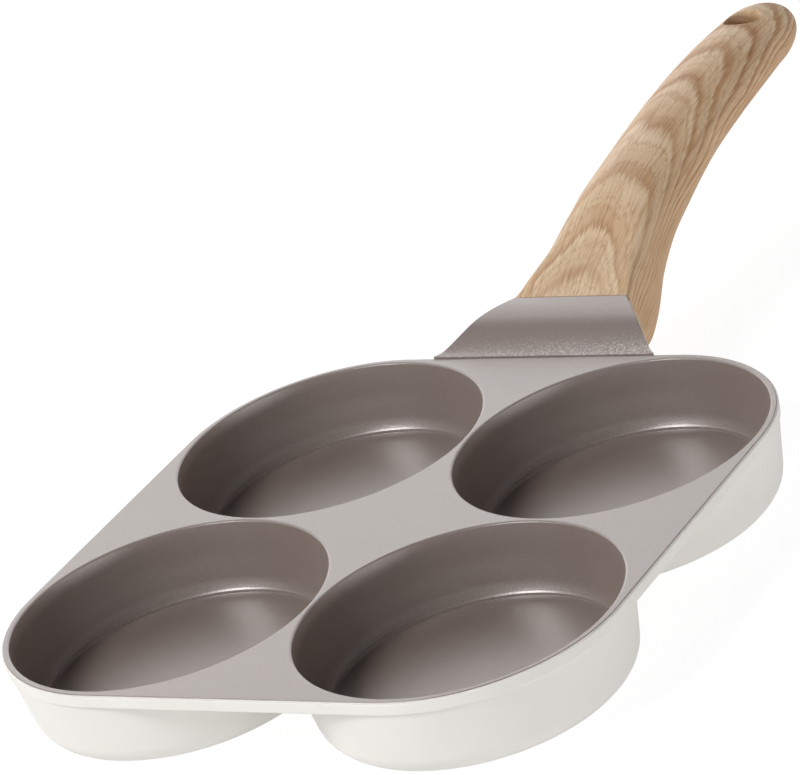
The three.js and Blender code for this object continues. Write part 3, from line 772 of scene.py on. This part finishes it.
def dress(tree, shader, color, roughness, height, strength, depth):
    """Join colour, roughness and a bump of some depth in millimetres to a finish's shader."""
    bump = add(tree, "Bump", {"Strength": strength, "Distance": depth * MM, "Height": height})
    joined = {"Base Color": color, "Roughness": roughness, "Normal": bump.outputs["Normal"]}
    for socket, source in joined.items():
        tree.links.new(source, shader.inputs[socket])
    return len(tree.nodes)


print("helpers:", [helper.__name__ for helper in (to_range, noise, multiply, dress)])

# %% [markdown]
# ## Pan coat
# The coat on the deck and in the cups is a satin taupe non-stick layer with fine flecks and a slight metal
# sparkle. The deck looks pale where it mirrors the bright room, and the floors look dark where they mirror
# the cup walls. A high index of refraction gives most of that mirror and a little metal the rest. Fine
# noise gives the grain. In the corners the coat is rougher and deeper, and a paler colour is painted in there
# as a painted glow of the lamp.

# %% Pan coat colour
tree, shader = start_finish("pan_coat")
place = add(tree, "TexCoord").outputs["Object"]
grain = noise(tree, place, 1500.0, 2.0, 0.6)
flecks = add(tree, "TexVoronoi", {"Vector": place, "Scale": 1500.0}).outputs["Distance"]
clouds = noise(tree, place, 38.0, 3.0)
grain_glow_share = add(tree, "Attribute", attribute_name="grain_and_painted_glow").outputs["Fac"]
specks = add(tree, "MapRange", {"Value": grain, "From Min": 0.42, "From Max": 0.68}).outputs["Result"]
painted_glow_specks = add(tree, "Math", {0: grain_glow_share, 1: specks}, operation="MULTIPLY").outputs["Value"]
fleck_stops = [(0.0, srgb(145, 130, 124)), (0.32, srgb(138, 123, 117)), (0.9, srgb(133, 118, 112))]
fleck_shade = color_ramp(tree, flecks, fleck_stops)
# The paler colour mixed in here is a painted glow of the lamp, not a colour of the coat.
glow_mix = {"Factor": painted_glow_specks, "A": fleck_shade, "B": srgb(196, 184, 178)}
glow_painted_tone = add(tree, "Mix", glow_mix, data_type="RGBA").outputs["Result"]
cloud_shade = color_ramp(tree, clouds, [(0.3, (0.94, 0.94, 0.94, 1)), (0.7, CLEAR)])
coat_shade = multiply(tree, glow_painted_tone, cloud_shade)
print("pan coat colour nodes:", len(tree.nodes))

# %% Pan coat surface
CORNER_ROUGHNESS = 0.12
smooth = to_range(tree, grain, 0.28, 0.38)
rough = add(tree, "Math", {0: grain_glow_share, 1: CORNER_ROUGHNESS, 2: smooth}, operation="MULTIPLY_ADD").outputs["Value"]
shader.inputs["Metallic"].default_value = 0.06
shader.inputs["IOR"].default_value = 2.1
bump_level = to_range(tree, grain_glow_share, 0.3, 1.0)
print("pan coat nodes:", dress(tree, shader, coat_shade, rough, grain, bump_level, 0.14))

# %% [markdown]
# ## Cream enamel
# Outside, the casting wears a warm white enamel, smooth but not glassy, with the faint orange peel of a
# sprayed finish. A broad noise moves its tone a little, and a finer one its surface.

# %% Cream enamel
tree, shader = start_finish("cream_enamel")
place = add(tree, "TexCoord").outputs["Object"]
drift = noise(tree, place, 30.0, 3.0)
peel = noise(tree, place, 520.0, 2.0)
tone = color_ramp(tree, drift, [(0.3, srgb(236, 233, 227)), (0.7, srgb(241, 238, 233))])
print("cream enamel nodes:", dress(tree, shader, tone, to_range(tree, peel, 0.34, 0.44), peel, 0.06, 0.2))

# %% [markdown]
# ## Handle wood
# Along the top of the handle the growth rings are cut in nested arches that open towards the pan, and down
# the sides the same rings run as straight streaks. One sum gives both: the length along the handle, plus
# a length that grows quickly with the way round it. A fine noise feathers it, as fibres do.

# %% Handle wood figure
ARCH_POWER, ARCH_STEEPNESS = 2.82, 0.0115
tree, shader = start_finish("handle_wood")
run = add(tree, "Attribute", attribute_name="grain_run").outputs["Vector"]


def math_node(tree, operation, first, second=0.0):
    """One step of arithmetic, done by a node."""
    return add(tree, "Math", {0: first, 1: second}, operation=operation).outputs["Value"]


def stretched_noise(tree, run, around, along, detail, seed):
    """Noise over the grain, with its scale round the handle and along it, per millimetre."""
    inputs = {"Vector": run, "Location": (seed, 2 * seed, 0), "Scale": (around, along, 0)}
    return noise(tree, add(tree, "Mapping", inputs).outputs["Vector"], 1.0, detail)


parts = add(tree, "SeparateXYZ", {"Vector": run}).outputs
sway = to_range(tree, stretched_noise(tree, run, 0.04, 0.018, 1.0, 3.7), -6.0, 6.0)
shift = to_range(tree, stretched_noise(tree, run, 0.1, 0.028, 1.0, 9.1), -8.0, 8.0)
feather = to_range(tree, stretched_noise(tree, run, 1.3, 0.04, 2.0, 5.3), -4.5, 4.5)
around = math_node(tree, "ABSOLUTE", math_node(tree, "ADD", parts["X"], sway))
arch = math_node(tree, "MULTIPLY", math_node(tree, "POWER", around, ARCH_POWER), ARCH_STEEPNESS)
moved_along = math_node(tree, "ADD", parts["Y"], shift)
figure = math_node(tree, "ADD", moved_along, math_node(tree, "ADD", arch, feather))
print("wood figure nodes:", len(tree.nodes))

# %% [markdown]
# A year's growth starts with a sharp brown edge that fades through tan, then pale wood follows. The years
# are listed with the place and the width of each, because no two are alike. Broad patches let some of
# them fade out, less so towards the tip. Noise along the same sum draws the fine lines between them.

# %% Handle wood rings
FIGURE_LENGTH = 230.0
RING_EDGE = 3
PALE, TAN, BROWN = srgb(226, 201, 170), srgb(214, 182, 147), srgb(184, 138, 96)
DARKER, LIGHTER = (0.84, 0.74, 0.64, 1), (1.05, 1.04, 1.03, 1)
RINGS = (
    (32, 7), (49, 12), (70, 16), (97, 14), (121, 13), (141, 12), (160, 12), (181, 14), (197, 10), (212, 12),
)
SHARE_PER_MM = 0.0035
stops = [(0.0, PALE)]
for start, fade in RINGS:
    for place, tone in ((start - RING_EDGE, PALE), (start, BROWN), (start + fade / 2, TAN)):
        stops.append((place / FIGURE_LENGTH, tone))
stops.append((1.0, TAN))
full_tone = color_ramp(tree, math_node(tree, "DIVIDE", figure, FIGURE_LENGTH), stops)
patches = to_range(tree, stretched_noise(tree, run, 0.07, 0.035, 2.0, 21.0), 0.02, 1.02)
ring_share = add(tree, "Math", {0: parts["Y"], 1: SHARE_PER_MM, 2: patches}, operation="MULTIPLY_ADD")
ring_mix = {"Factor": ring_share.outputs["Value"], "A": PALE, "B": full_tone}
ring_tone = add(tree, "Mix", ring_mix, data_type="RGBA").outputs["Result"]
line_inputs = {"W": figure, "Scale": 0.3, "Detail": 4.0, "Roughness": 0.7}
fine_lines = add(tree, "TexNoise", line_inputs, noise_dimensions="1D").outputs["Fac"]
line_tone = color_ramp(tree, fine_lines, [(0.32, DARKER), (0.5, CLEAR), (0.68, LIGHTER)])
print("growth rings:", len(RINGS))

# %% [markdown]
# Over the rings lie the fibres, the pores as short dark dashes, and a slow change from patch to patch. The
# sides are painted a little darker and warmer as painted shade, and the wood in the hollows is painted darker
# still as painted shade. Each of these is a tone that darkens or lightens the wood, so they are simply
# multiplied.

# %% Handle wood fibres and colour
HOLLOW_DEPTH = 4.0
fibre = stretched_noise(tree, run, 1.2, 0.02, 4.0, 1.3)
pores = stretched_noise(tree, run, 2.2, 0.12, 2.0, 7.9)
patch = stretched_noise(tree, run, 0.1, 0.03, 2.0, 12.5)
# Painted shade: the sides of the handle are painted darker and warmer.
side = add(tree, "MapRange", {"Value": around, "From Min": 12.0, "From Max": 23.0}).outputs["Result"]
# Painted shade: the wood is painted darker the deeper it lies in a hollow.
depth = math_node(tree, "DIVIDE", parts["Z"], HOLLOW_DEPTH)
fibre_stops = [(0.34, (0.85, 0.77, 0.69, 1)), (0.5, CLEAR), (0.7, (1.04, 1.03, 1.02, 1))]
tones = [
    line_tone,
    color_ramp(tree, fibre, fibre_stops),
    color_ramp(tree, pores, [(0.33, (0.8, 0.71, 0.62, 1)), (0.42, CLEAR)]),
    color_ramp(tree, patch, [(0.3, (0.92, 0.89, 0.85, 1)), (0.62, CLEAR)]),
    color_ramp(tree, side, [(0.0, CLEAR), (1.0, (0.94, 0.87, 0.78, 1))]),
    color_ramp(tree, depth, [(0.15, CLEAR), (1.0, (0.66, 0.56, 0.46, 1))]),
]
wood = ring_tone
for tone in tones:
    wood = multiply(tree, wood, tone)
print("handle wood nodes:", dress(tree, shader, wood, to_range(tree, fibre, 0.5, 0.62), pores, 0.12, 0.15))

# %% [markdown]
# ## Ground steel and zinc
# The discs are ground in a lathe, so fine rings run round their middle. Each disc has its own origin, which
# makes the distance from the middle easy to take. The screw and washers are bright zinc with a cloudy film.

# %% Ground steel
tree, shader = start_finish("ground_steel")
place = add(tree, "TexCoord").outputs["Object"]
flat_place = add(tree, "Mapping", {"Vector": place, "Scale": (1, 1, 0)}).outputs["Vector"]
from_middle = add(tree, "VectorMath", {0: flat_place}, operation="LENGTH").outputs["Value"]
mark_inputs = {"W": from_middle, "Scale": 3200.0, "Detail": 3.0}
lathe_marks = add(tree, "TexNoise", mark_inputs, noise_dimensions="1D").outputs["Fac"]
stains = noise(tree, place, 60.0, 4.0)
steel_tone = color_ramp(tree, lathe_marks, [(0.3, srgb(158, 158, 157)), (0.7, srgb(196, 196, 194))])
stain_tone = color_ramp(tree, stains, [(0.35, (0.86, 0.85, 0.83, 1)), (0.65, CLEAR)])
steel = multiply(tree, steel_tone, stain_tone)
shader.inputs["Metallic"].default_value = 1.0
steel_rough = to_range(tree, lathe_marks, 0.24, 0.42)
print("ground steel nodes:", dress(tree, shader, steel, steel_rough, lathe_marks, 0.2, 0.05))

# %% Zinc plate
tree, shader = start_finish("zinc_plate")
place = add(tree, "TexCoord").outputs["Object"]
film = noise(tree, place, 700.0, 4.0)
film_tone = color_ramp(tree, film, [(0.3, srgb(176, 180, 182)), (0.7, srgb(212, 213, 210))])
shader.inputs["Metallic"].default_value = 1.0
print("zinc plate nodes:", dress(tree, shader, film_tone, to_range(tree, film, 0.22, 0.4), film, 0.08, 0.05))

# %% [markdown]
# ## Stage
# The pan stands on a pale floor in a bright room. The camera sees the floor as white, while the pan gets
# only the plain light that a pale table throws back, less of it where the pan's own shadow falls. The
# floor still takes a soft shadow, and its back is clear, so the underside can be looked at from below.

# %% Floor
FLOOR_HALF = 6
BOUNCE_TONE, SEEN_TONE = 0.45, 0.14  # what the floor throws back, to the pan and to the camera
BOUNCE_GLOW, SEEN_GLOW = 0.38, 0.93
floor_corners = [(x * FLOOR_HALF, y * FLOOR_HALF, 0) for x, y in ((-1, -1), (1, -1), (1, 1), (-1, 1))]
floor_data = bpy.data.meshes.new("floor")
floor_data.from_pydata(floor_corners, [], [(0, 1, 2, 3)])
floor = bpy.data.objects.new("floor", floor_data)
bpy.context.scene.collection.objects.link(floor)
floor_finish = bpy.data.materials.new("pale_floor")
floor_data.materials.append(floor_finish)
floor_finish.use_nodes = True
floor_tree = floor_finish.node_tree
floor_tree.nodes.clear()
seen = add(floor_tree, "LightPath").outputs["Is Camera Ray"]
tone = to_range(floor_tree, seen, BOUNCE_TONE, SEEN_TONE)
white = add(floor_tree, "BsdfDiffuse", {"Color": tone}).outputs["BSDF"]
level = to_range(floor_tree, seen, BOUNCE_GLOW, SEEN_GLOW)
glow = add(floor_tree, "Emission", {"Color": CLEAR, "Strength": level}).outputs["Emission"]
front = add(floor_tree, "AddShader", {0: white, 1: glow}).outputs["Shader"]
clear = add(floor_tree, "BsdfTransparent").outputs["BSDF"]
behind = add(floor_tree, "NewGeometry").outputs["Backfacing"]
surface = add(floor_tree, "MixShader", {"Fac": behind, 1: front, 2: clear}).outputs["Shader"]
add(floor_tree, "OutputMaterial", {"Surface": surface})
print("floor is", floor.dimensions.x, "m wide")

# %% [markdown]
# ## Light
# The room is bright at the left and dim at the right and overhead, which gives the cups a dark side. Three
# soft lamps stand in it, as in a studio: a window behind on the left makes the deck pale, a smaller and
# stronger lamp at the front left draws the glints, and a low strip on the right lifts the pale skirt there
# without shining into the cups. One picture of a room could do all this, but then nothing could be moved.

# %% Room
LEFTWARD = (-0.985, -0.17, 0)
scene = bpy.context.scene
scene.world = bpy.data.worlds.new("bright_room")
scene.world.use_nodes = True
room = scene.world.node_tree
room.nodes.clear()
rays = add(room, "LightPath").outputs
toward = add(room, "TexCoord").outputs["Generated"]
upward = add(room, "SeparateXYZ", {"Vector": toward}).outputs["Z"]
leftward = add(room, "VectorMath", {0: toward, 1: LEFTWARD}, operation="DOT_PRODUCT").outputs["Value"]


def soft_level(value, start, end, low, high):
    """A level that goes softly from low to high while a value goes from start to end."""
    inputs = {"Value": value, "From Min": start, "From Max": end, "To Min": low, "To Max": high}
    return add(room, "MapRange", inputs, interpolation_type="SMOOTHSTEP").outputs["Result"]


side_level = soft_level(leftward, -0.7, 0.4, 0.56, 1.3)
height_share = soft_level(upward, 0.15, 0.55, 1.0, 0.12)
wall_level = math_node(room, "MULTIPLY", side_level, height_share)
level = math_node(room, "MAXIMUM", wall_level, rays["Is Camera Ray"])
sky = add(room, "Background", {"Color": CLEAR, "Strength": level}).outputs["Background"]
add(room, "OutputWorld", {"Surface": sky})
print("room nodes:", len(room.nodes))

# %% Lamps
def soft_lamp(name, azimuth, elevation, distance, width, height, radiance):
    """A soft oval lamp that looks at the pan, in degrees from +X towards +Y and metres."""
    azimuth, elevation = math.radians(azimuth), math.radians(elevation)
    flat = math.cos(elevation)
    out = Vector((flat * math.cos(azimuth), flat * math.sin(azimuth), math.sin(elevation)))
    data = bpy.data.lights.new(name, "AREA")
    data.shape, data.size, data.size_y = "ELLIPSE", width, height
    data.energy = radiance * math.pi * math.pi * width * height / 4
    lamp = bpy.data.objects.new(name, data)
    lamp.location = row_point(0, 0, PAN_HEIGHT) + out * distance
    lamp.rotation_euler = (-out).to_track_quat("-Z", "Y").to_euler()
    scene.collection.objects.link(lamp)


soft_lamp("window_behind", 130, 32, 1.8, 1.7, 1.7, 1.42)
soft_lamp("lamp_front", -121, 46, 2.0, 0.75, 0.75, 17.2)
soft_lamp("strip_right", -4, 1.5, 2.0, 2.4, 0.1, 18.0)

# %% [markdown]
# ## Camera
# The photograph was taken from the front right, a little above, with a long lens and the camera tipped, so
# the handle climbs to the upper right. Place, direction and tip were worked out from the cup rims.

# %% Camera
CAMERA_PLACE = (0.75388, -1.12346, 0.62042)
CAMERA_AZIMUTH, CAMERA_ELEVATION, CAMERA_TIP = (math.radians(a) for a in (35.637, 23.4995, 16.774))
lens = bpy.data.cameras.new("camera")
lens.sensor_width, lens.lens = 36.0, 220.05
lens.clip_start, lens.clip_end = 0.05, 50.0
camera = bpy.data.objects.new("camera", lens)
look = Vector((
    -math.sin(CAMERA_AZIMUTH) * math.cos(CAMERA_ELEVATION),
    math.cos(CAMERA_AZIMUTH) * math.cos(CAMERA_ELEVATION),
    -math.sin(CAMERA_ELEVATION),
))
camera.location = CAMERA_PLACE
camera.rotation_mode = "QUATERNION"
camera.rotation_quaternion = look.to_track_quat("-Z", "Y") @ Quaternion((0, 0, 1), -CAMERA_TIP)
scene.collection.objects.link(camera)
scene.camera = camera
scene.view_settings.view_transform = "Standard"
print("camera at", CAMERA_PLACE, "looks along", look)
